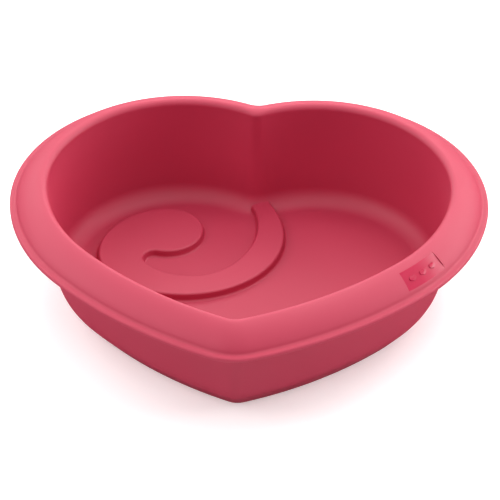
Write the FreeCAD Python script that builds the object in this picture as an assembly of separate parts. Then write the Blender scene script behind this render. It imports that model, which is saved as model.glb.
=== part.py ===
import FreeCAD, Part
import math
import os

# Heart-shaped silicone baking mould, 260 x 230 x 68.5 mm.
# The moulding is divided at its functional zones; each zone is one closed solid, and the zones meet
# face to face.
# Frame: +Z up, the mould stands on z = 0, the cleft points to +Y and the tip to -Y. The origin is the
# centre of the bounding box's bottom face.

# ---- driving dimensions, millimetres and degrees ----------------------------------------------------

# Heart outline at the mouth of the cavity: one half, from the cleft to the tip, as tangent arcs.
CLEFT_RADIUS = 23.5
CLEFT_ANGLE = 22.2
LOBE_RADIUS = 72.8
LOBE_ANGLE = 119.0
SIDE_RADIUS = 94.3
SIDE_ANGLE = 37.8
FLANK_ANGLE = 24.1
TIP_RADIUS = 10.0
INNER_TIP_RADIUS = 10.0
RIM_CLEFT_RADIUS = 2.5
# The ridge that the cleft makes inside the cavity: its radius at the top of the wall, and how much the
# radius grows for each millimetre that the wall comes inwards.
RIDGE_RADIUS = 8.0
RIDGE_SPREAD = 2.0

# Cavity, wall and foot.
CAVITY_DEPTH = 62.5
SHELL_THICKNESS = 2.2
WALL_DRAFT = 4.7
BEND_RADIUS = 10.0
FOOT_HEIGHT = 3.8
FOOT_TAPER = 38.0
FOOT_WIDTH = 4.0
FOOT_EDGE_RADIUS = 1.2

# Rolled rim.
CREST_RADIUS = 3.1
SHOULDER_WIDTH = 14.3
SHOULDER_DROP = 11.0
SHOULDER_EXPONENT = 1.45
LEDGE_WIDTH = 3.5
LEDGE_THICKNESS = 2.4
LEDGE_EDGE_RADIUS = 0.6

# Raised spiral on the floor, from the cleft end of its tail.
SWIRL_HEIGHT = 4.2
SWIRL_TAIL_X = 7.0
SWIRL_TAIL_BELOW_CLEFT = 4.1
SWIRL_TAIL_HEADING = -56.0
# Radius and turn of each tangent arc; a negative turn is clockwise. The long outer edge and the round
# head come first, then the notch, then the inner edge back to the tail.
SWIRL_ARCS = [
    (65.0, -26.3),
    (53.0, -60.7),
    (58.1, -66.9),
    (35.2, -70.4),
    (41.2, -68.4),
    (20.0, -156.2),
    (19.7, -46.9),
    (6.3, 143.5),
    (31.7, 99.1),
    (53.2, 53.0),
    (28.2, 16.9),
]

# Polished flat on the shoulder, and the relief on it.
PLATE_BEARING = -40.7
PLATE_LENGTH = 27.0
PLATE_INNER_MARGIN = 4.4
PLATE_OUTER_MARGIN = 1.4
EMBLEM_COUNT = 3
EMBLEM_PITCH = 7.5
EMBLEM_LOBE_RADIUS = 1.3
EMBLEM_RELIEF = 0.5

# Facets that stand for each rounded stretch of the cross-section.
CREST_STEPS = 6
SHOULDER_STEPS = 10
BEND_STEPS = 8
FOOT_EDGE_STEPS = 3

# ---- sizes that follow ------------------------------------------------------------------------------

FLOOR_TOP = FOOT_HEIGHT + SHELL_THICKNESS
RIM_TOP = FLOOR_TOP + CAVITY_DEPTH
SHOULDER_FOOT = CREST_RADIUS + SHOULDER_WIDTH
LEDGE_TOP = RIM_TOP - SHOULDER_DROP
EDGE_OFFSET = SHOULDER_FOOT + LEDGE_WIDTH
SWIRL_TOP = FLOOR_TOP + SWIRL_HEIGHT
# A cutter reaches past what it cuts by this much.
CUTTER_REACH = 5.0


def normal(heading):
    """Unit vector to the left of a heading, which is outwards on a clockwise outline."""
    angle = math.radians(heading)
    return FreeCAD.Vector(-math.sin(angle), math.cos(angle), 0)


def heading_of(vector):
    """Heading whose left-hand normal is this vector."""
    return math.degrees(math.atan2(vector.y, vector.x)) - 90.0


# ---- heart outline ----------------------------------------------------------------------------------

SIDE_START = CLEFT_ANGLE - LOBE_ANGLE
FLANK_START = SIDE_START - SIDE_ANGLE
TIP_START = FLANK_START - FLANK_ANGLE


def flank_radius(side_centre):
    """Radius of the flank that puts the centre of the tip's arc on the heart's axis."""
    start, end = normal(FLANK_START), normal(TIP_START)
    reach = TIP_RADIUS * end.x - side_centre.x - SIDE_RADIUS * start.x
    return reach / (end.x - start.x)


def heart_centres():
    """Centres of the lobe, side and flank arcs with the cleft at the origin, and the flank's radius."""
    cleft = FreeCAD.Vector(0, CLEFT_RADIUS, 0)
    lobe = cleft - normal(CLEFT_ANGLE) * (CLEFT_RADIUS + LOBE_RADIUS)
    side = lobe + normal(SIDE_START) * (LOBE_RADIUS - SIDE_RADIUS)
    radius = flank_radius(side)
    flank = side + normal(FLANK_START) * (SIDE_RADIUS - radius)
    return lobe, side, flank, radius


LOBE_CENTRE, SIDE_CENTRE, FLANK_CENTRE, FLANK_RADIUS = heart_centres()


def cleft_radius(offset):
    """Radius in the cleft: tight on the wall's ridge, wider over the crest, then following the offset."""
    if offset < 0:
        return RIDGE_RADIUS - RIDGE_SPREAD * offset
    crest = min(offset / CREST_RADIUS, 1.0)
    return max(RIDGE_RADIUS + (CLEFT_RADIUS - RIDGE_RADIUS) * crest - offset, RIM_CLEFT_RADIUS)


def cleft_arc(offset):
    """Centre and radius of the hollow arc in the cleft, tangent to both lobes."""
    radius = cleft_radius(offset)
    reach = LOBE_RADIUS + offset + radius
    y = LOBE_CENTRE.y + math.sqrt(reach ** 2 - LOBE_CENTRE.x ** 2)
    return FreeCAD.Vector(0, y, 0), radius


def tip_arc(offset):
    """Centre and radius of the tip's arc, tangent to both flanks."""
    radius = max(TIP_RADIUS + offset, INNER_TIP_RADIUS)
    reach = FLANK_RADIUS + offset - radius
    y = FLANK_CENTRE.y - math.sqrt(reach ** 2 - FLANK_CENTRE.x ** 2)
    return FreeCAD.Vector(0, y, 0), radius


def y_shift():
    """Move along Y that centres the outer edge of the rim on the origin."""
    back = LOBE_CENTRE.y + LOBE_RADIUS + EDGE_OFFSET
    centre, radius = tip_arc(EDGE_OFFSET)
    front = centre.y - radius
    return -(back + front) / 2


CLEFT_Y = y_shift()


def arc_points(centre, radius, start, end):
    """Start, middle and end of an arc between two headings."""
    middle = (start + end) / 2
    return [centre + normal(heading) * radius for heading in (start, middle, end)]


def heart_arcs(offset):
    """Three points on each arc of the whole outline at an offset from the mouth, clockwise from the cleft."""
    cleft_centre, cleft_radius = cleft_arc(offset)
    tip_centre, tip_radius = tip_arc(offset)
    lobe_start = heading_of(cleft_centre - LOBE_CENTRE)
    tip_start = heading_of(tip_centre - FLANK_CENTRE)
    right = [
        arc_points(LOBE_CENTRE, LOBE_RADIUS + offset, lobe_start, SIDE_START),
        arc_points(SIDE_CENTRE, SIDE_RADIUS + offset, SIDE_START, FLANK_START),
        arc_points(FLANK_CENTRE, FLANK_RADIUS + offset, FLANK_START, tip_start),
    ]
    left = [[mirrored(point) for point in reversed(arc)] for arc in reversed(right)]
    cleft = [left[-1][-1], cleft_centre - FreeCAD.Vector(0, cleft_radius, 0), right[0][0]]
    tip = [right[-1][-1], tip_centre - FreeCAD.Vector(0, tip_radius, 0), left[0][0]]
    return [cleft] + right + [tip] + left


def mirrored(point):
    """The same point on the other side of the heart's axis."""
    return FreeCAD.Vector(-point.x, point.y, point.z)


def heart_edges(offset, z):
    """Edges of the heart outline at an offset and a height."""
    lift = FreeCAD.Vector(0, CLEFT_Y, z)
    return [Part.Arc(*[point + lift for point in arc]).toShape() for arc in heart_arcs(offset)]


def heart_face(offset, z):
    """Flat face inside the heart outline."""
    return Part.Face(Part.Wire(heart_edges(offset, z)))


# ---- solids from a cross-section --------------------------------------------------------------------


def band(low, high):
    """Faces between the outlines of two (offset, height) points of a cross-section."""
    low_edges, high_edges = heart_edges(*low), heart_edges(*high)
    if abs(low[1] - high[1]) < 1e-9:
        wires = [Part.Wire(low_edges), Part.Wire(high_edges)]
        return Part.makeFace(wires, "Part::FaceMakerBullseye").Faces
    return [Part.makeRuledSurface(a, b) for a, b in zip(low_edges, high_edges)]


def closed_solid(faces):
    """Solid inside a set of faces that close."""
    shell = Part.makeShell(faces)
    shell.sewShape()
    solid = Part.makeSolid(shell)
    if solid.Volume < 0:
        solid.reverse()
    return solid


def ring(section):
    """Solid ring that follows the heart with a closed cross-section of (offset, height) points."""
    faces = []
    for low, high in zip(section, section[1:] + section[:1]):
        faces += band(low, high)
    return closed_solid(faces)


def stack(levels):
    """Solid heart whose outline runs through (offset, height) levels, closed below and above."""
    faces = [heart_face(*levels[0]), heart_face(*levels[-1])]
    for low, high in zip(levels, levels[1:]):
        faces += band(low, high)
    return closed_solid(faces)


def arc_section(centre, radius, start, end, steps):
    """(offset, height) points on an arc; 0 degrees points outwards and 90 degrees up."""
    points = []
    for step in range(steps + 1):
        angle = math.radians(start + (end - start) * step / steps)
        points.append((centre[0] + radius * math.cos(angle), centre[1] + radius * math.sin(angle)))
    return points


# ---- cross-section of the wall, bend and foot -------------------------------------------------------

DRAFT = math.radians(WALL_DRAFT)
CREST_CENTRE = (CREST_RADIUS, RIM_TOP - CREST_RADIUS)
WALL_FACING = 180.0 - WALL_DRAFT


def crest_point(radius, angle):
    """(offset, height) point round the crest's centre."""
    return arc_section(CREST_CENTRE, radius, angle, angle, 1)[0]


def bend_centre():
    """Centre of the bend, a bend radius above the floor and in from the drafted wall."""
    wall = crest_point(CREST_RADIUS, WALL_FACING)
    height = FLOOR_TOP + BEND_RADIUS
    offset = wall[0] - (wall[1] - height) * math.tan(DRAFT) - BEND_RADIUS / math.cos(DRAFT)
    return (offset, height)


BEND_CENTRE = bend_centre()
OUTER_BEND_RADIUS = BEND_RADIUS + SHELL_THICKNESS
FLOOR_OFFSET = BEND_CENTRE[0]
WALL_SIDE = -WALL_DRAFT


def inner_bend():
    """Cavity side of the bend, from the wall down to the floor."""
    return arc_section(BEND_CENTRE, BEND_RADIUS, WALL_SIDE, -90.0, BEND_STEPS)


def outer_bend_upper():
    """Outside of the bend, from the wall down to the top of the foot's taper."""
    return arc_section(BEND_CENTRE, OUTER_BEND_RADIUS, WALL_SIDE, -FOOT_TAPER, BEND_STEPS)


def outer_bend_lower():
    """Outside of the bend that the foot hangs from, down to the floor's underside."""
    return arc_section(BEND_CENTRE, OUTER_BEND_RADIUS, -FOOT_TAPER, -90.0, BEND_STEPS)


def side_wall():
    """Drafted wall between the bend and the crest."""
    return ring([
        crest_point(CREST_RADIUS, WALL_FACING),
        inner_bend()[0],
        outer_bend_upper()[0],
        crest_point(CREST_RADIUS - SHELL_THICKNESS, WALL_FACING),
    ])


def base_bend():
    """Large radius that joins the wall to the floor."""
    outside = outer_bend_upper() + outer_bend_lower()[1:]
    return ring(inner_bend() + outside[::-1])


def foot_outer_edge():
    """Rounded edge where the foot's tapered face meets the table, and the taper's lower end."""
    top = outer_bend_lower()[0]
    taper = math.radians(FOOT_TAPER)
    foot = top[0] - top[1] * math.tan(taper)
    inset = FOOT_EDGE_RADIUS * math.tan((math.pi / 2 - taper) / 2)
    centre = (foot - inset, FOOT_EDGE_RADIUS)
    return arc_section(centre, FOOT_EDGE_RADIUS, -FOOT_TAPER, -90.0, FOOT_EDGE_STEPS)


def foot_inner_offset():
    """Offset of the foot's inner face, inside the bend's edge so that the foot meets the floor too."""
    flat_end = foot_outer_edge()[-1][0]
    return min(flat_end - FOOT_WIDTH, FLOOR_OFFSET - FOOT_EDGE_RADIUS)


def foot_ring():
    """Standing ring: its outer face continues the bend at a taper down to the table."""
    hanging = outer_bend_lower()
    inner = foot_inner_offset()
    return ring(foot_outer_edge() + [(inner, 0.0), (inner, FOOT_HEIGHT)] + hanging[::-1])


# ---- cross-section of the rim -----------------------------------------------------------------------


def shoulder_curve(start, width, drop, steps):
    """Convex curve that leaves its start level and falls to vertical at its foot."""
    power = 2.0 / SHOULDER_EXPONENT
    points = []
    for step in range(steps + 1):
        angle = math.pi / 2 * step / steps
        across = width * math.sin(angle) ** power
        down = drop * (1.0 - max(math.cos(angle), 0.0) ** power)
        points.append((start[0] + across, start[1] - down))
    return points


def shoulder_top():
    """Upper face of the shoulder, from the crest to the ledge."""
    return shoulder_curve((CREST_RADIUS, RIM_TOP), SHOULDER_WIDTH, SHOULDER_DROP, SHOULDER_STEPS)


def shoulder_underside():
    """Lower face of the shoulder, a shell's thickness inside the upper one."""
    start = (CREST_RADIUS, RIM_TOP - SHELL_THICKNESS)
    width = SHOULDER_WIDTH - SHELL_THICKNESS
    drop = SHOULDER_DROP - SHELL_THICKNESS
    return shoulder_curve(start, width, drop, SHOULDER_STEPS)


def rim_crest():
    """Rounded top edge of the cavity."""
    top = arc_section(CREST_CENTRE, CREST_RADIUS, WALL_FACING, 90.0, CREST_STEPS)
    underside = arc_section(CREST_CENTRE, CREST_RADIUS - SHELL_THICKNESS, WALL_FACING, 90.0, CREST_STEPS)
    return ring(top + underside[::-1])


def whole_shoulder():
    """Sloping outer shoulder of the rim, before the plate's place is cut out of it."""
    return ring(shoulder_top() + shoulder_underside()[::-1])


def rim_ledge():
    """Flat flange round the foot of the shoulder, with a blunt outer edge."""
    bottom = LEDGE_TOP - LEDGE_THICKNESS
    reach = EDGE_OFFSET - LEDGE_EDGE_RADIUS
    upper = arc_section((reach, LEDGE_TOP - LEDGE_EDGE_RADIUS), LEDGE_EDGE_RADIUS, 90.0, 0.0, FOOT_EDGE_STEPS)
    lower = arc_section((reach, bottom + LEDGE_EDGE_RADIUS), LEDGE_EDGE_RADIUS, 0.0, -90.0, FOOT_EDGE_STEPS)
    inner = SHOULDER_FOOT - SHELL_THICKNESS
    return ring([(inner, LEDGE_TOP), (SHOULDER_FOOT, LEDGE_TOP)] + upper + lower + [(inner, bottom)])


# ---- polished flat on the shoulder ------------------------------------------------------------------

PLATE_AXIS = SIDE_CENTRE + FreeCAD.Vector(0, CLEFT_Y, 0)
PLATE_INNER = CREST_RADIUS + PLATE_INNER_MARGIN
PLATE_OUTER = SHOULDER_FOOT - PLATE_OUTER_MARGIN
PLATE_MIDDLE = (PLATE_INNER + PLATE_OUTER) / 2


def shoulder_height(offset):
    """Height of the shoulder's upper face at an offset."""
    across = ((offset - CREST_RADIUS) / SHOULDER_WIDTH) ** SHOULDER_EXPONENT
    return LEDGE_TOP + SHOULDER_DROP * (1.0 - across) ** (1.0 / SHOULDER_EXPONENT)


def plate_spot(offset, height, bearing):
    """Point at an offset and height, on a bearing from the side arc's centre."""
    angle = math.radians(bearing)
    out = FreeCAD.Vector(math.cos(angle), math.sin(angle), 0)
    return PLATE_AXIS + out * (SIDE_RADIUS + offset) + FreeCAD.Vector(0, 0, height)


def plate_sector(section):
    """Solid swept round the side arc's centre over the plate's length."""
    turn = math.degrees(PLATE_LENGTH / (SIDE_RADIUS + PLATE_MIDDLE))
    start = PLATE_BEARING - turn / 2
    corners = [plate_spot(offset, height, start) for offset, height in section]
    face = Part.Face(Part.makePolygon(corners + corners[:1]))
    return face.revolve(PLATE_AXIS, FreeCAD.Vector(0, 0, 1), turn)


def plate_space():
    """Full height of the shoulder between the plate's inner and outer edges."""
    low = LEDGE_TOP - CUTTER_REACH
    high = RIM_TOP + CUTTER_REACH
    return plate_sector([(PLATE_INNER, low), (PLATE_OUTER, low), (PLATE_OUTER, high), (PLATE_INNER, high)])


def plate_pocket():
    """Space above the plate's face, which runs straight from its inner to its outer edge."""
    inner = (PLATE_INNER, shoulder_height(PLATE_INNER))
    outer = (PLATE_OUTER, shoulder_height(PLATE_OUTER))
    high = RIM_TOP + CUTTER_REACH
    return plate_sector([inner, outer, (PLATE_OUTER, high), (PLATE_INNER, high)])


def emblem_outline():
    """Small heart from two half circles and two straight sides, centred on the origin."""
    r = EMBLEM_LOBE_RADIUS
    reach = r * (1.0 + math.sqrt(0.5))
    right = FreeCAD.Vector(reach, -r * math.sqrt(0.5), 0)
    left = mirrored(right)
    notch = FreeCAD.Vector(0, 0, 0)
    tip = FreeCAD.Vector(0, right.y - reach, 0)
    right_top = FreeCAD.Vector(r, r * (math.sqrt(2.0) - 1.0), 0)
    left_top = mirrored(right_top)
    return Part.Wire([
        Part.Arc(notch, right_top, right).toShape(),
        Part.LineSegment(right, tip).toShape(),
        Part.LineSegment(tip, left).toShape(),
        Part.Arc(left, left_top, notch).toShape(),
    ])


def emblem_heart(bearing):
    """One raised heart that stands through the plate's face, tip towards the rim's edge."""
    inner = plate_spot(PLATE_INNER, shoulder_height(PLATE_INNER), bearing)
    outer = plate_spot(PLATE_OUTER, shoulder_height(PLATE_OUTER), bearing)
    up_slope = (inner - outer).normalize()
    angle = math.radians(bearing)
    across = FreeCAD.Vector(-math.sin(angle), math.cos(angle), 0)
    facing = across.cross(up_slope)
    if facing.z < 0:
        facing = facing * -1.0
        across = across * -1.0
    placement = FreeCAD.Matrix(
        across.x, up_slope.x, facing.x, 0,
        across.y, up_slope.y, facing.y, 0,
        across.z, up_slope.z, facing.z, 0,
        0, 0, 0, 1,
    )
    middle = (inner + outer) / 2 + up_slope * EMBLEM_LOBE_RADIUS
    prism = Part.Face(emblem_outline()).extrude(FreeCAD.Vector(0, 0, 2 * EMBLEM_RELIEF))
    heart = prism.transformGeometry(placement)
    heart.translate(middle - facing * EMBLEM_RELIEF)
    return heart


def plate_emblem(plate):
    """Row of small raised hearts on the plate's face."""
    step = math.degrees(EMBLEM_PITCH / (SIDE_RADIUS + PLATE_MIDDLE))
    first = PLATE_BEARING - step * (EMBLEM_COUNT - 1) / 2
    hearts = [emblem_heart(first + step * index).cut(plate) for index in range(EMBLEM_COUNT)]
    return Part.makeCompound([heart.Solids[0] for heart in hearts])


# ---- floor and its raised spiral --------------------------------------------------------------------


def swirl_wire():
    """Outline of the raised spiral as tangent arcs, closed square across its tail."""
    point = FreeCAD.Vector(SWIRL_TAIL_X, CLEFT_Y - SWIRL_TAIL_BELOW_CLEFT, 0)
    start = point
    heading = SWIRL_TAIL_HEADING
    edges = []
    for radius, turn in SWIRL_ARCS:
        side = math.copysign(radius, turn)
        centre = point + normal(heading) * side
        middle = centre - normal(heading + turn / 2) * side
        end = centre - normal(heading + turn) * side
        edges.append(Part.Arc(point, middle, end).toShape())
        point = end
        heading += turn
    edges.append(Part.LineSegment(point, start).toShape())
    return Part.Wire(edges)


def raised(wire, low, high):
    """Prism over a flat outline between two heights."""
    prism = Part.Face(wire).extrude(FreeCAD.Vector(0, 0, high - low))
    prism.translate(FreeCAD.Vector(0, 0, low))
    return prism


def floor_plate():
    """Whole floor, before the spiral's place is cut out of it."""
    return heart_face(FLOOR_OFFSET, FOOT_HEIGHT).extrude(FreeCAD.Vector(0, 0, SHELL_THICKNESS))


def floor_panel():
    """Flat floor round the spiral."""
    return floor_plate().cut(raised(swirl_wire(), FOOT_HEIGHT - CUTTER_REACH, FLOOR_TOP + CUTTER_REACH))


def swirl_relief():
    """Raised spiral, one shell thick over a hollow that is open below."""
    wire = swirl_wire()
    above = raised(wire, FLOOR_TOP, SWIRL_TOP).common(stack(inner_bend()[::-1]))
    within_floor = raised(wire, FOOT_HEIGHT, FLOOR_TOP).common(floor_plate())
    hollow_wire = Part.Face(wire).makeOffset2D(-SHELL_THICKNESS).OuterWire
    hollow = raised(hollow_wire, FOOT_HEIGHT - CUTTER_REACH, SWIRL_TOP - SHELL_THICKNESS)
    under_floor = heart_face(FLOOR_OFFSET - SHELL_THICKNESS, FOOT_HEIGHT - CUTTER_REACH)
    hollow_limit = under_floor.extrude(FreeCAD.Vector(0, 0, SWIRL_TOP + CUTTER_REACH))
    return above.fuse(within_floor).cut(hollow.common(hollow_limit)).removeSplitter()


# ---- parts ------------------------------------------------------------------------------------------


def build():
    """Every zone of the moulding by name."""
    shoulder = whole_shoulder()
    plate = shoulder.common(plate_space()).cut(plate_pocket())
    return {
        "floor_panel": floor_panel(),
        "swirl_relief": swirl_relief(),
        "base_bend": base_bend(),
        "foot_ring": foot_ring(),
        "side_wall": side_wall(),
        "rim_crest": rim_crest(),
        "rim_shoulder": shoulder.cut(plate_space()),
        "rim_ledge": rim_ledge(),
        "name_plate": plate,
        "plate_emblem": plate_emblem(plate),
    }


def main():
    os.makedirs("parts", exist_ok=True)
    for name, shape in build().items():
        solids = shape.Solids
        if len(solids) == 1:
            shape = solids[0]
        shape.exportStep("parts/" + name + ".step")
        print(name, len(solids), "solids, valid", shape.isValid(), "volume", round(shape.Volume, 1))


main()
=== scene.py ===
import math

import bmesh
import bpy
from bpy.props import FloatProperty, FloatVectorProperty, PointerProperty
from mathutils import Matrix, Vector


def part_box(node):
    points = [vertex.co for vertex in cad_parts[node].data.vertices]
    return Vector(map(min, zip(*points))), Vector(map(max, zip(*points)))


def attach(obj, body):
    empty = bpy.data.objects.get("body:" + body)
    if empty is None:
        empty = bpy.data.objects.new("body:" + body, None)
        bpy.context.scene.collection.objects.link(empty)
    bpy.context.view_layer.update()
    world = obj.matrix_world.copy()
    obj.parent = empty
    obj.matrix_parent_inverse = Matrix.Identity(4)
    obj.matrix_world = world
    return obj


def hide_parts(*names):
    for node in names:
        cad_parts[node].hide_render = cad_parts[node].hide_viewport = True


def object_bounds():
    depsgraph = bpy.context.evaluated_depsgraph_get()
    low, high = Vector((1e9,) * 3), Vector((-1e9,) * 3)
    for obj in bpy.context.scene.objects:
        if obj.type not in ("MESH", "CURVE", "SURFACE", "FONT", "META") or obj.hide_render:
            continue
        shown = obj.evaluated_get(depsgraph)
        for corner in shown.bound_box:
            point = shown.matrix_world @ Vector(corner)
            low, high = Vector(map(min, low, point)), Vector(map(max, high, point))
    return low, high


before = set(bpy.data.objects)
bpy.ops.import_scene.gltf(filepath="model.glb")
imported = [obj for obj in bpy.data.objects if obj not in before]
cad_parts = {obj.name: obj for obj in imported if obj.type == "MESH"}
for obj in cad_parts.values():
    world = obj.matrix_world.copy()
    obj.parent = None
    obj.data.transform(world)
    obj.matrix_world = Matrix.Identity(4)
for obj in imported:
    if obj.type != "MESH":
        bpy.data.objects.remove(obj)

bl_info = {
    "name": "Heart Baking Mould",
    "version": (1, 0, 0),
    "blender": (4, 5, 0),
    "location": "View3D > Sidebar > Mould",
    "description": "Builds a heart-shaped silicone cake mould with a raised spiral",
    "category": "Add Mesh",
}

BODY = "root"
CAD_LOW, CAD_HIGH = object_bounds()

# ---- heart outline at the mouth, metres and degrees ----------------------------------------------

CLEFT_RADIUS = 0.0235
CLEFT_ANGLE = 22.2
LOBE_RADIUS = 0.0728
LOBE_ANGLE = 119.0
SIDE_RADIUS = 0.0943
SIDE_ANGLE = 37.8
FLANK_ANGLE = 24.1
TIP_RADIUS = 0.010
RIM_CLEFT_RADIUS = 0.0025
RIDGE_RADIUS = 0.008
RIDGE_SPREAD = 2.0

# ---- cross-section of the moulding, metres and degrees -------------------------------------------

SHELL = 0.0022
WALL_DRAFT = 4.7
BEND_RADIUS = 0.010
FOOT_TAPER = 38.0
FOOT_WIDTH = 0.004
FOOT_EDGE_RADIUS = 0.0012
CREST_RADIUS = 0.0031
SHOULDER_WIDTH = 0.0143
SHOULDER_EXPONENT = 1.45
LEDGE_WIDTH = 0.0035
LEDGE_EDGE_RADIUS = 0.0006
LEDGE_TOP_RADIUS = 0.0011
LEDGE_FILLET_HEIGHT = 0.001

# ---- raised spiral, metres and degrees -----------------------------------------------------------

SPIRAL_TAIL = (0.0070, -0.0041)
SPIRAL_HEADING = -56.0
SPIRAL_RISE = 0.0042
# How far the foot of the spiral's side stands out past its top edge.
SPIRAL_LEAN = 0.0005
# Radius and turn of each tangent arc from the tail's outer corner; a clockwise turn is negative.
SPIRAL_ARCS = [
    (0.0650, -26.3),
    (0.0530, -60.7),
    (0.0581, -66.9),
    (0.0352, -70.4),
    (0.0412, -68.4),
    (0.0200, -156.2),
    (0.0197, -46.9),
    (0.0063, 143.5),
    (0.0317, 99.1),
    (0.0532, 53.0),
    (0.0282, 16.9),
]

# ---- polished flat on the shoulder ---------------------------------------------------------------

FLAT_BEARING = -40.7
FLAT_LENGTH = 0.027
FLAT_INNER_MARGIN = 0.0044
FLAT_OUTER_MARGIN = 0.0014
EMBLEM_COUNT = 3
EMBLEM_PITCH = 0.0075
EMBLEM_LOBE_RADIUS = 0.0013
# Share of the outline and share of the relief at each level of a heart, from its foot to its top.
EMBLEM_LEVELS = [(1.0, -1.0), (1.0, 0.7), (0.93, 0.95), (0.8, 1.0)]
EMBLEM_LOBE_STEPS = 12

# ---- heights, from the frame ---------------------------------------------------------------------

FLOOR_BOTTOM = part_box("floor_panel")[0].z
FLOOR_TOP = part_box("floor_panel")[1].z
SPIRAL_TOP = FLOOR_TOP + SPIRAL_RISE
RIM_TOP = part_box("rim_crest")[1].z
LEDGE_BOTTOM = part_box("rim_ledge")[0].z
LEDGE_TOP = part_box("rim_ledge")[1].z

# ---- camera, degrees, metres and the lens in millimetres -----------------------------------------

CAMERA_AZIMUTH = 3.66
CAMERA_ELEVATION = 37.94
CAMERA_DISTANCE = 1.5892
CAMERA_LENS = 217.65
CAMERA_TARGET = Vector((0.0045, -0.0384, RIM_TOP))
CAMERA_CLIP = (0.05, 50.0)

# ---- stage: softboxes have a place, a side length and a power in watts ---------------------------

FLOOR_SIZE = 12.0
LIGHT_TARGET = Vector((0.0, -0.02, 0.05))
SOFTBOXES = {
    "Overhead": ((0.0, 0.0, 1.6), 1.6, 12.0),
    "Overhead_Right": ((0.8, 0.3, 1.6), 1.0, 8.0),
    "Overhead_Back": ((0.0, 1.1, 1.3), 1.2, 12.0),
    "Back": ((0.0, 1.7, 0.6), 1.0, 8.0),
    "Front": ((0.0, -1.2, 1.4), 1.2, 5.0),
    "Front_Left": ((-1.2, -1.2, 0.9), 0.9, 8.0),
    "Front_Right": ((1.2, -1.2, 0.9), 0.9, 6.0),
    "Left_High": ((-1.4, 0.0, 1.1), 1.2, 12.0),
    "Left_Side": ((-1.6, 0.1, 0.5), 0.9, 6.0),
    "Left_Back": ((-1.1, 1.2, 0.8), 0.9, 12.0),
    "Right_Side": ((1.6, 0.25, 0.6), 0.9, 18.0),
    "Right_Back": ((1.1, 1.2, 0.8), 0.9, 14.0),
}

# ---- facets of each stretch of the outline and the cross-section ---------------------------------

CLEFT_STEPS = 20
LOBE_STEPS = 84
SIDE_STEPS = 40
FLANK_STEPS = 56
TIP_STEPS = 20
CURVE_STEPS = 12
EDGE_STEPS = 4
SPIRAL_STEP = math.radians(3.0)
SPIRAL_LEAST_STEPS = 4
FLAT_STEPS = 24
# Width of a curve's first and last stretch as a share of a full one.
SUPPORT = 0.04


def normal(heading):
    """Unit vector to the left of a heading in degrees, outwards on a clockwise outline."""
    angle = math.radians(heading)
    return Vector((-math.sin(angle), math.cos(angle), 0.0))


def heading_of(vector):
    """Heading whose left-hand normal is this vector."""
    return math.degrees(math.atan2(vector.y, vector.x)) - 90.0


# ---- heart outline -------------------------------------------------------------------------------

SIDE_START = CLEFT_ANGLE - LOBE_ANGLE
FLANK_START = SIDE_START - SIDE_ANGLE
TIP_START = FLANK_START - FLANK_ANGLE
EDGE_OFFSET = CREST_RADIUS + SHOULDER_WIDTH + LEDGE_WIDTH


def heart_centres():
    """Centres of the lobe, side and flank arcs in the row frame, and the flank's radius."""
    lobe = Vector((0, CLEFT_RADIUS, 0)) - normal(CLEFT_ANGLE) * (CLEFT_RADIUS + LOBE_RADIUS)
    side = lobe + normal(SIDE_START) * (LOBE_RADIUS - SIDE_RADIUS)
    start, end = normal(FLANK_START), normal(TIP_START)
    radius = (TIP_RADIUS * end.x - side.x - SIDE_RADIUS * start.x) / (end.x - start.x)
    flank = side + start * (SIDE_RADIUS - radius)
    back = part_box("rim_ledge")[1].y
    shift = Vector((0, back - (lobe.y + LOBE_RADIUS + EDGE_OFFSET), 0))
    return lobe + shift, side + shift, flank + shift, radius, shift.y


LOBE_CENTRE, SIDE_CENTRE, FLANK_CENTRE, FLANK_RADIUS, CLEFT_Y = heart_centres()


def arc(centre, radius, start, end, steps):
    """Points from one heading to another round a centre, without the last one."""
    return [centre + normal(start + (end - start) * i / steps) * radius for i in range(steps)]


def cleft_radius(offset):
    """Radius in the cleft: tight on the wall's ridge, wider over the crest, less outside it."""
    if offset < 0:
        return RIDGE_RADIUS - RIDGE_SPREAD * offset
    crest = min(offset / CREST_RADIUS, 1.0)
    return max(RIDGE_RADIUS + (CLEFT_RADIUS - RIDGE_RADIUS) * crest - offset, RIM_CLEFT_RADIUS)


def heart_loop(offset, height):
    """Points of the outline at an offset from the mouth, clockwise from the cleft's middle."""
    inside = cleft_radius(offset)
    reach = LOBE_RADIUS + offset + inside
    cleft = Vector((0, LOBE_CENTRE.y + math.sqrt(reach ** 2 - LOBE_CENTRE.x ** 2), 0))
    tip_radius = TIP_RADIUS + max(offset, 0.0)
    reach = FLANK_RADIUS + offset - tip_radius
    tip = Vector((0, FLANK_CENTRE.y - math.sqrt(reach ** 2 - FLANK_CENTRE.x ** 2), 0))
    lobe_start = heading_of(cleft - LOBE_CENTRE)
    tip_start = heading_of(tip - FLANK_CENTRE)
    half = arc(cleft, -inside, 0.0, lobe_start, CLEFT_STEPS // 2)
    half += arc(LOBE_CENTRE, LOBE_RADIUS + offset, lobe_start, SIDE_START, LOBE_STEPS)
    half += arc(SIDE_CENTRE, SIDE_RADIUS + offset, SIDE_START, FLANK_START, SIDE_STEPS)
    half += arc(FLANK_CENTRE, FLANK_RADIUS + offset, FLANK_START, tip_start, FLANK_STEPS)
    half += arc(tip, tip_radius, tip_start, -180.0, TIP_STEPS // 2)
    bottom = tip - Vector((0, tip_radius, 0))
    other = [Vector((-point.x, point.y, 0)) for point in reversed(half[1:])]
    return [point + Vector((0, 0, height)) for point in half + [bottom] + other]


# ---- spiral outline ------------------------------------------------------------------------------


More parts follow.
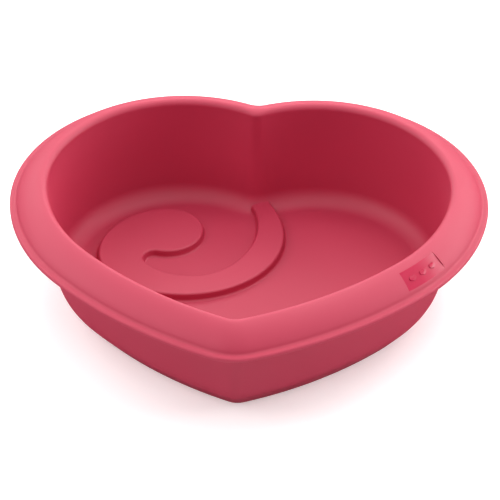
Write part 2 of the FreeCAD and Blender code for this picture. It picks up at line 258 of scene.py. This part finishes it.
def spiral_loop(offset, height):
    """Points of the spiral's outline, moved outwards by an offset, with its tail cut square."""
    point = Vector((SPIRAL_TAIL[0], CLEFT_Y + SPIRAL_TAIL[1], 0))
    heading = SPIRAL_HEADING
    points = []
    for radius, turn in SPIRAL_ARCS:
        side = math.copysign(radius, turn)
        centre = point + normal(heading) * side
        steps = max(SPIRAL_LEAST_STEPS, round(math.radians(abs(turn)) / SPIRAL_STEP))
        for step in range(steps):
            points.append(centre - normal(heading + turn * step / steps) * (side - offset))
        point = centre - normal(heading + turn) * side
        heading += turn
    points.append(point + normal(heading) * offset)
    return [spot + Vector((0, 0, height)) for spot in points]


# ---- cross-sections: lists of (offset, height) ---------------------------------------------------


def spaced(steps):
    """Shares from 0 to 1; the narrow first and last stretch hold the shading at a joint."""
    inner = [i / steps for i in range(1, steps)]
    return [0.0, SUPPORT / steps] + inner + [1.0 - SUPPORT / steps, 1.0]


def arc_section(centre, radius, start, end, steps=CURVE_STEPS):
    """Points on an arc; 0 degrees points outwards and 90 degrees up."""
    points = []
    for share in spaced(steps):
        angle = math.radians(start + (end - start) * share)
        points.append((centre[0] + radius * math.cos(angle), centre[1] + radius * math.sin(angle)))
    return points


def shoulder_section(start, width, drop):
    """Points down the convex shoulder from its start."""
    power = 2.0 / SHOULDER_EXPONENT
    points = []
    for share in spaced(2 * CURVE_STEPS):
        angle = math.pi / 2 * share
        across = width * math.sin(angle) ** power
        down = drop * (1.0 - max(math.cos(angle), 0.0) ** power)
        points.append((start[0] + across, start[1] - down))
    return points


WALL_FACING = 180.0 - WALL_DRAFT
CREST_CENTRE = (CREST_RADIUS, RIM_TOP - CREST_RADIUS)
SHOULDER_FOOT = CREST_RADIUS + SHOULDER_WIDTH
SHOULDER_DROP = RIM_TOP - LEDGE_TOP


def crest_point(radius):
    """Where the drafted wall runs into the crest, at a radius round the crest's centre."""
    angle = math.radians(WALL_FACING)
    return (CREST_CENTRE[0] + radius * math.cos(angle), CREST_CENTRE[1] + radius * math.sin(angle))


def bend_centre():
    """Centre of the bend, a bend radius above the floor and in from the wall."""
    wall = crest_point(CREST_RADIUS)
    draft = math.radians(WALL_DRAFT)
    height = FLOOR_TOP + BEND_RADIUS
    return (wall[0] - (wall[1] - height) * math.tan(draft) - BEND_RADIUS / math.cos(draft), height)


BEND_CENTRE = bend_centre()
FLOOR_OFFSET = BEND_CENTRE[0]


def inner_bend():
    """Cavity side of the bend, from the wall to the floor."""
    return arc_section(BEND_CENTRE, BEND_RADIUS, -WALL_DRAFT, -90.0)


def outer_bend(start, end):
    """Outside of the bend between two directions."""
    return arc_section(BEND_CENTRE, BEND_RADIUS + SHELL, start, end)


def foot_section():
    """Foot ring: rounded edge, flat underside, inner face and the bend above it."""
    hanging = outer_bend(-FOOT_TAPER, -90.0)
    taper = math.radians(FOOT_TAPER)
    inset = FOOT_EDGE_RADIUS * math.tan((math.pi / 2 - taper) / 2)
    centre = (hanging[0][0] - hanging[0][1] * math.tan(taper) - inset, FOOT_EDGE_RADIUS)
    edge = arc_section(centre, FOOT_EDGE_RADIUS, -FOOT_TAPER, -90.0, EDGE_STEPS)
    inner = edge[-1][0] - FOOT_WIDTH
    return edge + [(inner, 0.0), (inner, FLOOR_BOTTOM)] + hanging[::-1]


def shoulder_offset(rise):
    """Offset of the shoulder's face at a rise above its foot, and the angle it faces."""
    up = (rise / SHOULDER_DROP) ** SHOULDER_EXPONENT
    across = (1.0 - up) ** (1.0 / SHOULDER_EXPONENT)
    outwards = across ** (SHOULDER_EXPONENT - 1.0) / SHOULDER_WIDTH
    upwards = (rise / SHOULDER_DROP) ** (SHOULDER_EXPONENT - 1.0) / SHOULDER_DROP
    return CREST_RADIUS + SHOULDER_WIDTH * across, math.atan2(upwards, outwards)


def ledge_section():
    """Flat flange with a blunt outer edge and a soft corner where it leaves the shoulder."""
    start, facing = shoulder_offset(LEDGE_FILLET_HEIGHT)
    radius = LEDGE_FILLET_HEIGHT / (1.0 - math.sin(facing))
    centre = (start + radius * math.cos(facing), LEDGE_TOP + radius)
    corner = arc_section(centre, radius, 180.0 + math.degrees(facing), 270.0, EDGE_STEPS)
    top, low = LEDGE_TOP_RADIUS, LEDGE_EDGE_RADIUS
    upper = arc_section((EDGE_OFFSET - top, LEDGE_TOP - top), top, 90.0, 0.0, EDGE_STEPS)
    lower = arc_section((EDGE_OFFSET - low, LEDGE_BOTTOM + low), low, 0.0, -90.0, EDGE_STEPS)
    inner = SHOULDER_FOOT - SHELL
    start = [(inner, LEDGE_TOP), (SHOULDER_FOOT, LEDGE_TOP)]
    return start + corner + upper + lower + [(inner, LEDGE_BOTTOM)]


# ---- modelling -----------------------------------------------------------------------------------

MERGE_DISTANCE = 1e-7
SHARP_ANGLE = math.radians(32.0)


def start_piece(name, points):
    """Adds a circle with a corner laid on each point and leaves it selected in edit mode."""
    bpy.ops.object.select_all(action="DESELECT")
    bpy.ops.mesh.primitive_circle_add(
        vertices=len(points), radius=CAD_HIGH.x, location=(0, 0, 0)
    )
    piece = bpy.context.object
    piece.name = piece.data.name = name
    for vertex, point in zip(piece.data.vertices, points):
        vertex.co = point
    bpy.ops.object.mode_set(mode="EDIT")
    bpy.ops.mesh.select_mode(type="EDGE")
    bpy.ops.mesh.select_all(action="SELECT")
    return piece


def extrude_to(piece, points):
    """Extrudes the selected loop of edges and lays the new loop on the points."""
    bpy.ops.mesh.extrude_edges_indiv()
    mesh = bmesh.from_edit_mesh(piece.data)
    fresh = [vertex for vertex in mesh.verts if vertex.select]
    if len(fresh) != len(points):
        raise RuntimeError(f"{piece.name}: extruded {len(fresh)} corners for {len(points)} points")
    for vertex, point in zip(fresh, points):
        vertex.co = point
    bmesh.update_edit_mesh(piece.data)


def fill_loop(piece, first, count):
    """Closes the loop of corners that starts at an index with one face."""
    bpy.ops.mesh.select_all(action="DESELECT")
    mesh = bmesh.from_edit_mesh(piece.data)
    mesh.verts.ensure_lookup_table()
    for index in range(first, first + count):
        mesh.verts[index].select = True
    mesh.select_flush(True)
    bmesh.update_edit_mesh(piece.data)
    bpy.ops.mesh.edge_face_add()


def close_piece(piece):
    """Merges doubles, turns the faces outwards and leaves edit mode."""
    bpy.ops.mesh.select_all(action="SELECT")
    bpy.ops.mesh.remove_doubles(threshold=MERGE_DISTANCE)
    bpy.ops.mesh.normals_make_consistent(inside=False)
    bpy.ops.object.mode_set(mode="OBJECT")
    return piece


def ring(name, section):
    """Closed ring that follows the heart with a closed cross-section."""
    piece = start_piece(name, heart_loop(*section[0]))
    for offset, height in section[1:] + section[:1]:
        extrude_to(piece, heart_loop(offset, height))
    return close_piece(piece)


def stack(name, loops):
    """Closed solid through a list of loops, filled at both ends."""
    piece = start_piece(name, loops[0])
    for points in loops[1:]:
        extrude_to(piece, points)
    count = len(loops[0])
    fill_loop(piece, 0, count)
    fill_loop(piece, count * (len(loops) - 1), count)
    return close_piece(piece)


def apply_boolean(piece, cutter, operation):
    """Cuts, keeps or joins a piece with a cutter, which is then removed."""
    modifier = piece.modifiers.new("cut", "BOOLEAN")
    modifier.operation = operation
    modifier.solver = "EXACT"
    modifier.object = cutter
    bpy.ops.object.select_all(action="DESELECT")
    bpy.context.view_layer.objects.active = piece
    piece.select_set(True)
    bpy.ops.object.modifier_apply(modifier=modifier.name)
    bpy.data.objects.remove(cutter)
    if not piece.data.polygons:
        raise RuntimeError(f"{piece.name}: nothing is left after the cut")


def finish_piece(piece, node, slot="silicone"):
    """Smooths a piece, gives it its finish and seats it in the frame in place of a CAD node."""
    bpy.ops.object.select_all(action="DESELECT")
    bpy.context.view_layer.objects.active = piece
    piece.select_set(True)
    bpy.ops.object.shade_smooth_by_angle(angle=SHARP_ANGLE)
    piece.data.materials.clear()
    piece.data.materials.append(finish_named(slot))
    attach(piece, BODY)
    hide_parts(node)


# ---- polished flat -------------------------------------------------------------------------------

FLAT_INNER = CREST_RADIUS + FLAT_INNER_MARGIN
FLAT_OUTER = SHOULDER_FOOT - FLAT_OUTER_MARGIN
FLAT_MIDDLE = (FLAT_INNER + FLAT_OUTER) / 2
FLAT_TURN = FLAT_LENGTH / (SIDE_RADIUS + FLAT_MIDDLE)


def curve_height(offset, start, width, drop):
    """Height of the shoulder's curve at an offset."""
    across = min(max((offset - start[0]) / width, 0.0), 1.0) ** SHOULDER_EXPONENT
    return start[1] - drop + drop * (1.0 - across) ** (1.0 / SHOULDER_EXPONENT)


def shoulder_height(offset):
    """Height of the shoulder's upper face at an offset."""
    return curve_height(offset, (CREST_RADIUS, RIM_TOP), SHOULDER_WIDTH, SHOULDER_DROP)


def underside_height(offset):
    """Height of the shoulder's lower face at an offset."""
    start = (CREST_RADIUS, RIM_TOP - SHELL)
    height = curve_height(offset, start, SHOULDER_WIDTH - SHELL, SHOULDER_DROP - SHELL)
    return max(height, LEDGE_TOP)


def on_side(offset, height, bearing):
    """Point at an offset and height on a bearing from the side arc's centre, in radians."""
    out = Vector((math.cos(bearing), math.sin(bearing), 0))
    return SIDE_CENTRE + out * (SIDE_RADIUS + offset) + Vector((0, 0, height))


def side_sector(name, section):
    """Solid that carries a closed cross-section round the side arc's centre, as long as the flat."""
    start = math.radians(FLAT_BEARING) - FLAT_TURN / 2
    corners = [on_side(offset, height, start) for offset, height in section]
    piece = start_piece(name, corners)
    bpy.ops.mesh.edge_face_add()
    bpy.ops.mesh.spin(
        steps=FLAT_STEPS,
        dupli=False,
        angle=-FLAT_TURN,
        center=SIDE_CENTRE,
        axis=(0.0, 0.0, 1.0),
    )
    return close_piece(piece)


def flat_block(name):
    """Full height of the shoulder between the flat's inner and outer edges."""
    low, high = LEDGE_TOP - SHELL, RIM_TOP + SHELL
    corners = [(FLAT_INNER, low), (FLAT_OUTER, low), (FLAT_OUTER, high), (FLAT_INNER, high)]
    return side_sector(name, corners)


# ---- materials -----------------------------------------------------------------------------------

CLOUD_SCALE = 22.0
CLOUD_DETAIL = 3.0
CLOUD_DEPTH = 0.25
SATIN_SPREAD = 0.1
SATIN_IOR = 1.62
GRAIN_DETAIL = 2.0
GRAIN_DEPTH = 0.00003
GRAIN_STRENGTH = 0.35
POLISHED_SPREAD = 0.04
POLISHED_IOR = 1.5
RIPPLE_SCALE = 160.0
RIPPLE_DETAIL = 1.0
RIPPLE_DEPTH = 0.00004
RIPPLE_STRENGTH = 0.5
FLOOR_ROUGHNESS = 0.9
WHITE = (1.0, 1.0, 1.0, 1.0)


class Value:
    """Shader socket that adds Math nodes when it is used in an expression."""

    def __init__(self, graph, socket):
        self.graph = graph
        self.socket = socket

    def combine(self, operation, first, second):
        node = self.graph.node("ShaderNodeMath", {"operation": operation}, {0: first, 1: second})
        return Value(self.graph, node.outputs[0])

    def __add__(self, other):
        return self.combine("ADD", self, other)

    def __radd__(self, other):
        return self.combine("ADD", other, self)

    def __sub__(self, other):
        return self.combine("SUBTRACT", self, other)

    def __rsub__(self, other):
        return self.combine("SUBTRACT", other, self)

    def __mul__(self, other):
        return self.combine("MULTIPLY", self, other)

    def __rmul__(self, other):
        return self.combine("MULTIPLY", other, self)


class Graph:
    """Node tree of one material."""

    def __init__(self, name):
        self.material = bpy.data.materials.new(name)
        self.material.use_nodes = True
        self.tree = self.material.node_tree
        self.shader = self.tree.nodes["Principled BSDF"]

    def node(self, kind, settings=None, sockets=None):
        """Adds a node, sets its settings, then sets or links its sockets."""
        node = self.tree.nodes.new(kind)
        for key, value in (settings or {}).items():
            setattr(node, key, value)
        for key, value in (sockets or {}).items():
            self.feed(node.inputs[key], value)
        return node

    def feed(self, socket, value):
        """Links a value or node output to a socket, or sets the socket to a number or colour."""
        if isinstance(value, Value):
            self.tree.links.new(value.socket, socket)
        elif isinstance(value, bpy.types.NodeSocket):
            self.tree.links.new(value, socket)
        else:
            socket.default_value = value

    def noise(self, scale, detail):
        """Noise from 0 to 1 on the object's own coordinates, with a scale in features per metre."""
        place = self.node("ShaderNodeTexCoord")
        sockets = {"Vector": place.outputs["Object"], "Scale": scale, "Detail": detail}
        return Value(self, self.node("ShaderNodeTexNoise", {}, sockets).outputs["Fac"])

    def mix(self, factor, first, second):
        """Colour between two colours; a Mix node keeps its colour sockets at 6 and 7, and 2 out."""
        node = self.node("ShaderNodeMix", {"data_type": "RGBA"}, {0: factor, 6: first, 7: second})
        return node.outputs[2]

    def bump(self, height, distance, strength):
        """Feeds a height to the shader's normal."""
        sockets = {"Height": height, "Distance": distance, "Strength": strength}
        node = self.node("ShaderNodeBump", {}, sockets)
        self.feed(self.shader.inputs["Normal"], node.outputs["Normal"])


def opaque(colour):
    """Colour with a full alpha."""
    return tuple(colour) + (1.0,)


def silicone(name, settings, roughness, spread, ior):
    """Faintly clouded raspberry silicone, whose roughness spreads round a middle value."""
    graph = Graph(name)
    colour, bloom = opaque(settings.silicone_colour), opaque(settings.bloom_colour)
    cloud = graph.noise(CLOUD_SCALE, CLOUD_DETAIL)
    inputs = graph.shader.inputs
    graph.feed(inputs["Base Color"], graph.mix(cloud * CLOUD_DEPTH, colour, bloom))
    graph.feed(inputs["Roughness"], roughness + (cloud - 0.5) * spread)
    inputs["IOR"].default_value = ior
    return graph


def moulded_silicone(settings):
    """Satin silicone with a fine tool grain."""
    roughness = settings.satin_roughness
    graph = silicone("moulded_silicone", settings, roughness, SATIN_SPREAD, SATIN_IOR)
    grain = graph.noise(1.0 / settings.grain_size, GRAIN_DETAIL)
    graph.bump(grain, GRAIN_DEPTH, GRAIN_STRENGTH)
    return graph.material


def glossy_silicone(settings):
    """Glossy silicone with a slight ripple, where the tool is polished."""
    roughness = settings.polished_roughness
    graph = silicone("glossy_silicone", settings, roughness, POLISHED_SPREAD, POLISHED_IOR)
    ripple = graph.noise(RIPPLE_SCALE, RIPPLE_DETAIL)
    graph.bump(ripple, RIPPLE_DEPTH, RIPPLE_STRENGTH)
    return graph.material


FINISHES = {"silicone": moulded_silicone, "polished_silicone": glossy_silicone}


def finish_named(slot):
    """Material of a slot, made on first use and named after the function that makes it."""
    maker = FINISHES[slot]
    return bpy.data.materials.get(maker.__name__) or maker(bpy.context.scene.mould_finish)


# ---- settings ------------------------------------------------------------------------------------


class MouldFinishSettings(bpy.types.PropertyGroup):
    """Colours and finish of the silicone."""

    silicone_colour: FloatVectorProperty(
        name="Silicone", description="Colour of the silicone", subtype="COLOR",
        size=3, min=0.0, max=1.0, default=(0.41, 0.011, 0.048),
    )
    bloom_colour: FloatVectorProperty(
        name="Bloom", description="Paler tone where the surface is clouded", subtype="COLOR",
        size=3, min=0.0, max=1.0, default=(0.44, 0.016, 0.058),
    )
    satin_roughness: FloatProperty(
        name="Satin roughness", description="Roughness of the grained surface",
        min=0.0, max=1.0, default=0.6, subtype="FACTOR",
    )
    polished_roughness: FloatProperty(
        name="Polished roughness", description="Roughness of the polished flat",
        min=0.0, max=1.0, default=0.22, subtype="FACTOR",
    )
    grain_size: FloatProperty(
        name="Grain size", description="Size of the tool grain", default=0.0004,
        min=0.0001, max=0.01, unit="LENGTH", subtype="DISTANCE",
    )


class MouldShapeSettings(bpy.types.PropertyGroup):
    """Roundings of the small relief."""

    spiral_fillet: FloatProperty(
        name="Spiral fillet", description="Fillet where the spiral rises from the floor",
        default=0.0014, min=0.0002, max=0.0025, unit="LENGTH", subtype="DISTANCE",
    )
    spiral_edge: FloatProperty(
        name="Spiral edge", description="Rounding of the spiral's top edge",
        default=0.0013, min=0.0002, max=0.0018, unit="LENGTH", subtype="DISTANCE",
    )
    emblem_relief: FloatProperty(
        name="Emblem relief", description="Height of the small hearts on the flat",
        default=0.0005, min=0.0001, max=0.001, unit="LENGTH", subtype="DISTANCE",
    )


class MouldStageSettings(bpy.types.PropertyGroup):
    """Floor and lights."""

    floor_colour: FloatVectorProperty(
        name="Floor", description="Colour of the floor", subtype="COLOR",
        size=3, min=0.0, max=1.0, default=(0.93, 0.93, 0.93),
    )
    floor_glow: FloatProperty(
        name="Floor glow", description="Light given off by the floor, as from a lit sweep",
        default=0.22, min=0.0, max=2.0,
    )
    brightness: FloatProperty(
        name="Brightness", description="Share of the softboxes' full power",
        default=1.0, min=0.0, max=4.0, subtype="FACTOR",
    )
    surround: FloatProperty(
        name="Surround", description="Strength of the even light from all round",
        default=0.0, min=0.0, max=2.0,
    )


# ---- operators -----------------------------------------------------------------------------------


class MOULD_OT_floor(bpy.types.Operator):
    """Flat floor of the cavity, with the spiral's place cut out"""

    bl_idname = "mould.floor"
    bl_label = "Floor"

    def execute(self, context):
        shape = context.scene.mould_shape
        faces = [heart_loop(FLOOR_OFFSET, height) for height in (FLOOR_BOTTOM, FLOOR_TOP)]
        floor = stack("Floor_Panel", faces)
        foot = SPIRAL_LEAN + shape.spiral_fillet
        levels = [FLOOR_BOTTOM - SHELL, FLOOR_TOP + SHELL]
        cutter = stack("cutter", [spiral_loop(foot, height) for height in levels])
        apply_boolean(floor, cutter, "DIFFERENCE")
        finish_piece(floor, "floor_panel")
        return {"FINISHED"}


class MOULD_OT_spiral(bpy.types.Operator):
    """Raised spiral on the floor, hollow underneath"""

    bl_idname = "mould.spiral"
    bl_label = "Spiral"

    def execute(self, context):
        shape = context.scene.mould_shape
        fillet, edge = shape.spiral_fillet, shape.spiral_edge
        reach = SPIRAL_LEAN + fillet
        steps = 2 * EDGE_STEPS
        foot = arc_section((reach, FLOOR_TOP + fillet), fillet, 270.0, 180.0, steps)
        top = arc_section((-edge, SPIRAL_TOP - edge), edge, 0.0, 90.0, steps)
        ceiling = SPIRAL_TOP - SHELL
        section = [(-2 * SHELL + edge, ceiling), (-SHELL, ceiling), (-SHELL, FLOOR_BOTTOM)]
        section += [(reach, FLOOR_BOTTOM)] + foot + top + [(-2 * edge, SPIRAL_TOP)]
        spiral = stack("Spiral_Relief", [spiral_loop(offset, height) for offset, height in section])
        below = FLOOR_BOTTOM - SHELL
        levels = [(FLOOR_OFFSET, below), (FLOOR_OFFSET, FLOOR_TOP)] + inner_bend()[::-1][1:]
        cavity = stack("cutter", [heart_loop(offset, height) for offset, height in levels])
        apply_boolean(spiral, cavity, "INTERSECT")
        finish_piece(spiral, "swirl_relief")
        return {"FINISHED"}


class MOULD_OT_bend(bpy.types.Operator):
    """Large radius between the floor and the wall"""

    bl_idname = "mould.bend"
    bl_label = "Base bend"

    def execute(self, context):
        outside = outer_bend(-WALL_DRAFT, -FOOT_TAPER) + outer_bend(-FOOT_TAPER, -90.0)[1:]
        bend = ring("Base_Bend", inner_bend() + outside[::-1])
        finish_piece(bend, "base_bend")
        return {"FINISHED"}


class MOULD_OT_foot(bpy.types.Operator):
    """Standing ring under the bend"""

    bl_idname = "mould.foot"
    bl_label = "Foot ring"

    def execute(self, context):
        foot = ring("Foot_Ring", foot_section())
        finish_piece(foot, "foot_ring")
        return {"FINISHED"}


class MOULD_OT_wall(bpy.types.Operator):
    """Drafted heart-shaped wall"""

    bl_idname = "mould.wall"
    bl_label = "Side wall"

    def execute(self, context):
        inner = [crest_point(CREST_RADIUS), inner_bend()[0]]
        outer = [outer_bend(-WALL_DRAFT, -FOOT_TAPER)[0], crest_point(CREST_RADIUS - SHELL)]
        wall = ring("Side_Wall", inner + outer)
        finish_piece(wall, "side_wall")
        return {"FINISHED"}


class MOULD_OT_crest(bpy.types.Operator):
    """Rounded top edge of the cavity"""

    bl_idname = "mould.crest"
    bl_label = "Rim crest"

    def execute(self, context):
        top = arc_section(CREST_CENTRE, CREST_RADIUS, WALL_FACING, 90.0)
        underside = arc_section(CREST_CENTRE, CREST_RADIUS - SHELL, WALL_FACING, 90.0)
        crest = ring("Rim_Crest", top + underside[::-1])
        finish_piece(crest, "rim_crest")
        return {"FINISHED"}


class MOULD_OT_shoulder(bpy.types.Operator):
    """Sloping outer shoulder of the rim, with the flat's place cut out"""

    bl_idname = "mould.shoulder"
    bl_label = "Rim shoulder"

    def execute(self, context):
        top = shoulder_section((CREST_RADIUS, RIM_TOP), SHOULDER_WIDTH, SHOULDER_DROP)
        start = (CREST_RADIUS, RIM_TOP - SHELL)
        underside = shoulder_section(start, SHOULDER_WIDTH - SHELL, SHOULDER_DROP - SHELL)
        shoulder = ring("Rim_Shoulder", top + underside[::-1])
        apply_boolean(shoulder, flat_block("cutter"), "DIFFERENCE")
        finish_piece(shoulder, "rim_shoulder")
        return {"FINISHED"}


class MOULD_OT_ledge(bpy.types.Operator):
    """Flat flange round the foot of the shoulder"""

    bl_idname = "mould.ledge"
    bl_label = "Rim ledge"

    def execute(self, context):
        ledge = ring("Rim_Ledge", ledge_section())
        finish_piece(ledge, "rim_ledge")
        return {"FINISHED"}


class MOULD_OT_flat(bpy.types.Operator):
    """Polished flat on the right front of the shoulder"""

    bl_idname = "mould.flat"
    bl_label = "Polished flat"

    def execute(self, context):
        section = [(offset, shoulder_height(offset)) for offset in (FLAT_INNER, FLAT_OUTER)]
        for step in range(CURVE_STEPS, -1, -1):
            offset = FLAT_INNER + (FLAT_OUTER - FLAT_INNER) * step / CURVE_STEPS
            section.append((offset, underside_height(offset)))
        flat = side_sector("Polished_Flat", section)
        finish_piece(flat, "name_plate", "polished_silicone")
        return {"FINISHED"}


class MOULD_OT_emblem(bpy.types.Operator):
    """Row of small raised hearts on the polished flat"""

    bl_idname = "mould.emblem"
    bl_label = "Emblem"

    def outline(self):
        """Small heart from two half circles and two straight sides, tip down."""
        radius = EMBLEM_LOBE_RADIUS
        centre = Vector((radius * math.sqrt(0.5), 0, 0))
        right = []
        for step in range(1, EMBLEM_LOBE_STEPS + 1):
            angle = math.radians(135.0 - 180.0 * step / EMBLEM_LOBE_STEPS)
            right.append(centre + Vector((math.cos(angle), math.sin(angle), 0)) * radius)
        tip = Vector((0, -radius * math.sqrt(2.0), 0))
        left = [Vector((-point.x, point.y, 0)) for point in reversed(right)]
        notch = Vector((0, radius * math.sqrt(0.5), 0))
        return [notch] + right + [tip] + left

    def seat(self, bearing):
        """Matrix from a heart's own plane to its place on the flat."""
        inner = on_side(FLAT_INNER, shoulder_height(FLAT_INNER), bearing)
        outer = on_side(FLAT_OUTER, shoulder_height(FLAT_OUTER), bearing)
        up = (inner - outer).normalized()
        across = Vector((-math.sin(bearing), math.cos(bearing), 0))
        facing = across.cross(up)
        if facing.z < 0:
            across, facing = -across, -facing
        place = Matrix((across, up, facing)).transposed().to_4x4()
        place.translation = (inner + outer) / 2
        return place

    def execute(self, context):
        relief = context.scene.mould_shape.emblem_relief
        outline = self.outline()
        step = EMBLEM_PITCH / (SIDE_RADIUS + FLAT_MIDDLE)
        hearts = []
        for index in range(EMBLEM_COUNT):
            bearing = math.radians(FLAT_BEARING) + step * (index - (EMBLEM_COUNT - 1) / 2)
            loops = []
            for scale, share in EMBLEM_LEVELS:
                height = Vector((0, 0, share * relief))
                loops.append([point * scale + height for point in outline])
            heart = stack("Emblem_Hearts", loops)
            heart.data.transform(self.seat(bearing))
            hearts.append(heart)
        bpy.ops.object.select_all(action="DESELECT")
        for heart in hearts:
            heart.select_set(True)
        bpy.context.view_layer.objects.active = hearts[0]
        bpy.ops.object.join()
        hearts[0].name = "Emblem_Hearts"
        finish_piece(hearts[0], "plate_emblem", "polished_silicone")
        return {"FINISHED"}


class MOULD_OT_stage(bpy.types.Operator):
    """Camera, pale floor and soft lights"""

    bl_idname = "mould.stage"
    bl_label = "Stage"

    def camera(self):
        """Camera that looks down into the mould from in front."""
        bpy.ops.object.camera_add()
        camera = bpy.context.object
        camera.name = "Camera"
        azimuth, elevation = math.radians(CAMERA_AZIMUTH), math.radians(CAMERA_ELEVATION)
        flat = math.cos(elevation)
        back = Vector((math.sin(azimuth) * flat, -math.cos(azimuth) * flat, math.sin(elevation)))
        camera.location = CAMERA_TARGET + back * CAMERA_DISTANCE
        camera.rotation_euler = (-back).to_track_quat("-Z", "Y").to_euler()
        camera.data.lens = CAMERA_LENS
        camera.data.clip_start, camera.data.clip_end = CAMERA_CLIP
        bpy.context.scene.camera = camera

    def softbox(self, name, place, size, power):
        """Square soft light that faces the mould."""
        bpy.ops.object.light_add(type="AREA", location=place)
        light = bpy.context.object
        light.name = name
        light.data.shape = "SQUARE"
        light.data.size = size
        light.data.energy = power
        aim = LIGHT_TARGET - Vector(place)
        light.rotation_euler = aim.to_track_quat("-Z", "Y").to_euler()

    def floor(self, settings):
        """Wide pale floor under the mould."""
        bpy.ops.object.select_all(action="DESELECT")
        bpy.ops.mesh.primitive_plane_add(size=FLOOR_SIZE, location=(0, 0, 0))
        floor = bpy.context.object
        floor.name = "Floor"
        graph = Graph("pale_floor")
        inputs = graph.shader.inputs
        inputs["Base Color"].default_value = opaque(settings.floor_colour)
        inputs["Emission Color"].default_value = WHITE
        inputs["Emission Strength"].default_value = settings.floor_glow
        inputs["Roughness"].default_value = FLOOR_ROUGHNESS
        floor.data.materials.append(graph.material)
        floor.visible_glossy = False

    def execute(self, context):
        settings = context.scene.mould_stage
        self.camera()
        self.floor(settings)
        for name, (place, size, power) in SOFTBOXES.items():
            self.softbox(name, place, size, power * settings.brightness)
        world = bpy.data.worlds.new("surround")
        world.use_nodes = True
        background = world.node_tree.nodes["Background"]
        background.inputs["Strength"].default_value = settings.surround
        background.inputs["Color"].default_value = WHITE
        context.scene.world = world
        context.scene.view_settings.view_transform = "Standard"
        return {"FINISHED"}


class MOULD_PT_panel(bpy.types.Panel):
    """Lists the mould's settings and pieces"""

    bl_idname = "MOULD_PT_panel"
    bl_label = "Baking Mould"
    bl_space_type = "VIEW_3D"
    bl_region_type = "UI"
    bl_category = "Mould"

    def draw(self, context):
        for group, kind in SETTINGS.items():
            for name in kind.__annotations__:
                self.layout.prop(getattr(context.scene, group), name)
        for operator in OPERATORS:
            self.layout.operator(operator.bl_idname)


SETTINGS = {
    "mould_finish": MouldFinishSettings,
    "mould_shape": MouldShapeSettings,
    "mould_stage": MouldStageSettings,
}
OPERATORS = (
    MOULD_OT_stage,
    MOULD_OT_floor,
    MOULD_OT_spiral,
    MOULD_OT_bend,
    MOULD_OT_foot,
    MOULD_OT_wall,
    MOULD_OT_crest,
    MOULD_OT_shoulder,
    MOULD_OT_ledge,
    MOULD_OT_flat,
    MOULD_OT_emblem,
)


def register():
    for name, settings in SETTINGS.items():
        bpy.utils.register_class(settings)
        setattr(bpy.types.Scene, name, PointerProperty(type=settings))
    for cls in OPERATORS + (MOULD_PT_panel,):
        bpy.utils.register_class(cls)


def unregister():
    for cls in (MOULD_PT_panel,) + OPERATORS[::-1]:
        bpy.utils.unregister_class(cls)
    for name, settings in SETTINGS.items():
        delattr(bpy.types.Scene, name)
        bpy.utils.unregister_class(settings)


def main():
    register()
    bpy.ops.mould.stage()
    bpy.ops.mould.floor()
    bpy.ops.mould.spiral()
    bpy.ops.mould.bend()
    bpy.ops.mould.foot()
    bpy.ops.mould.wall()
    bpy.ops.mould.crest()
    bpy.ops.mould.shoulder()
    bpy.ops.mould.ledge()
    bpy.ops.mould.flat()
    bpy.ops.mould.emblem()


if __name__ == "__main__":
    main()
